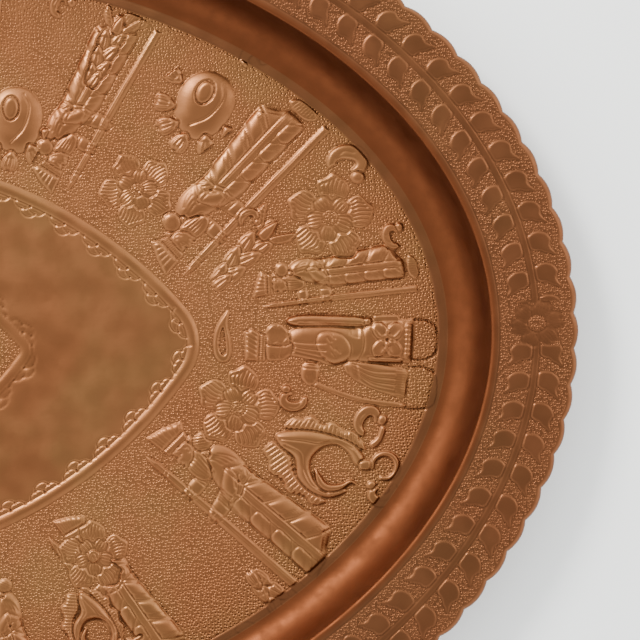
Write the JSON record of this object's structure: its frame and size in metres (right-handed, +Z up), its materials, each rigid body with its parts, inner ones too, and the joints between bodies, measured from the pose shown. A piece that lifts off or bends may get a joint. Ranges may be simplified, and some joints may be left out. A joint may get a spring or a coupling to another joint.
{
  "type": "hammered copper tray",
  "caption": "Large oval copper wall tray: chased floor with guard figures round a plain pointed field, sloping wall, scalloped turned-down edge, hanging ring under the flange.",
  "frame": {"origin": "under the middle of the tray, on the surface that it lies on", "axes": "+X along the tray's length, +Y across it towards the side with the hanging ring, +Z up out of the decorated face"},
  "size_m": [0.6094, 0.4256, 0.024],
  "materials": {
    "hammered_copper": "chased and hammered copper, satin, with a thin brown and olive patina",
    "soldered_copper_strip": "dull copper strip, soldered",
    "brass_wire": "drawn brass wire, lightly tarnished"
  },
  "bodies": {
    "tray": {"tray_sheet": "hammered_copper", "hanger_strap": "soldered_copper_strip"},
    "ring": {"hanging_ring": "brass_wire"}
  },
  "joints": [
    {"name": "ring_swing", "type": "hinge", "parent": "tray", "child": "ring", "pos_m": [0, 0.189, 0.0203], "axis": [1, 0, 0], "range_deg": [-50, 85]}
  ]
}
